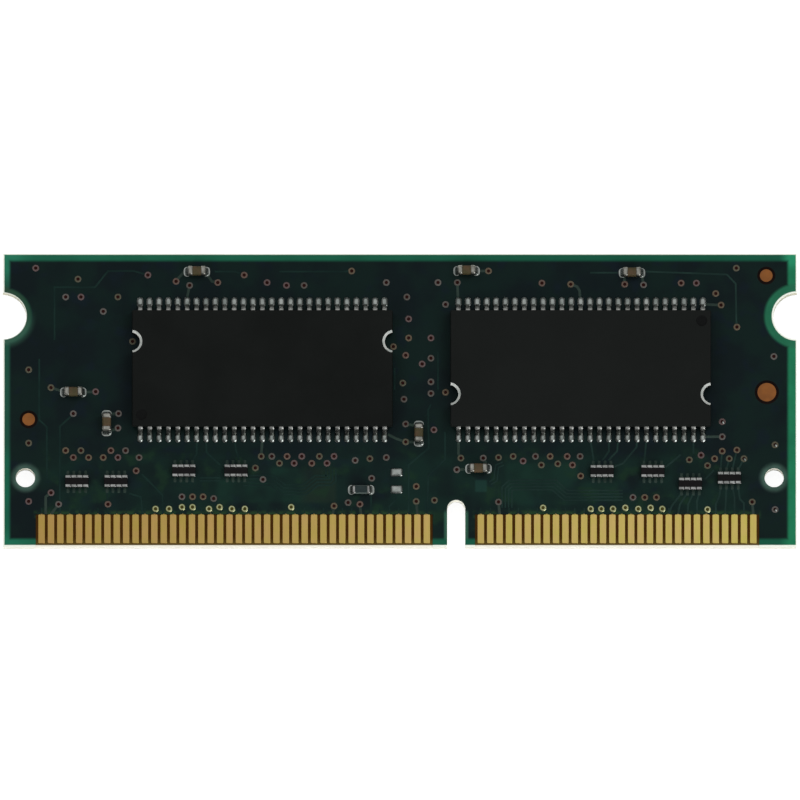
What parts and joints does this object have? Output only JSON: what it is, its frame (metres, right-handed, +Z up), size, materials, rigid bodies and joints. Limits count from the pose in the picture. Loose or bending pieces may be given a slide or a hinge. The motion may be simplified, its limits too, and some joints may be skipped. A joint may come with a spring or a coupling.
{
  "type": "memory module",
  "caption": "Flat memory card for a portable computer, with gold edge contacts, a key slot, half-round latch notches, and leaded chips and small surface-mounted parts on both faces.",
  "frame": {"origin": "under the middle of the card, on the plane through the lower chips' outer faces that it rests on", "axes": "+X along the card, with the key slot on the +X side; +Y away from the contact edge; +Z up, out of the pictured face"},
  "size_m": [0.0676, 0.0254, 0.0032],
  "materials": {
    "mask": "dark green solder mask, satin",
    "laminate": "glass-fibre laminate, sawn edge",
    "copper": "bare copper foil",
    "gold": "gold plate, satin",
    "moulding": "black moulding compound, matt",
    "leads": "tin plate, satin",
    "silicon": "polished silicon",
    "ceramic": "sintered ceramic with tinned ends",
    "resistor": "black glaze with tinned terminals"
  },
  "bodies": {
    "root": {"solder_mask_upper": "mask", "solder_mask_under": "mask", "laminate_upper": "laminate", "laminate_under": "laminate", "ground_plane": "copper", "contacts_upper_long": "gold", "contacts_upper_short": "gold", "contacts_under_long": "gold", "contacts_under_short": "gold", "memory_1_case": "moulding", "memory_1_die": "silicon", "memory_1_leads_far": "leads", "memory_1_leads_near": "leads", "memory_2_case": "moulding", "memory_2_die": "silicon", "memory_2_leads_far": "leads", "memory_2_leads_near": "leads", "memory_3_case": "moulding", "memory_3_die": "silicon", "memory_3_leads_far": "leads", "memory_3_leads_near": "leads", "memory_4_case": "moulding", "memory_4_die": "silicon", "memory_4_leads_far": "leads", "memory_4_leads_near": "leads", "eeprom_case": "moulding", "eeprom_die": "silicon", "eeprom_leads_far": "leads", "eeprom_leads_near": "leads", "link_resistor": "resistor", "capacitor_01": "ceramic", "capacitor_02": "ceramic", "capacitor_03": "ceramic", "capacitor_04": "ceramic", "capacitor_05": "ceramic", "capacitor_06": "ceramic", "capacitor_07": "ceramic", "capacitor_08": "ceramic", "capacitor_09": "ceramic", "capacitor_10": "ceramic", "capacitor_11": "ceramic", "capacitor_12": "ceramic", "capacitor_13": "ceramic", "resistor_array_01": "resistor", "resistor_array_02": "resistor", "resistor_array_03": "resistor", "resistor_array_04": "resistor", "resistor_array_05": "resistor", "resistor_array_06": "resistor", "resistor_array_07": "resistor", "resistor_array_08": "resistor", "resistor_array_09": "resistor", "resistor_array_10": "resistor", "resistor_array_11": "resistor", "resistor_array_12": "resistor", "resistor_array_13": "resistor", "resistor_array_14": "resistor", "resistor_array_15": "resistor", "resistor_array_16": "resistor"}
  },
  "joints": []
}
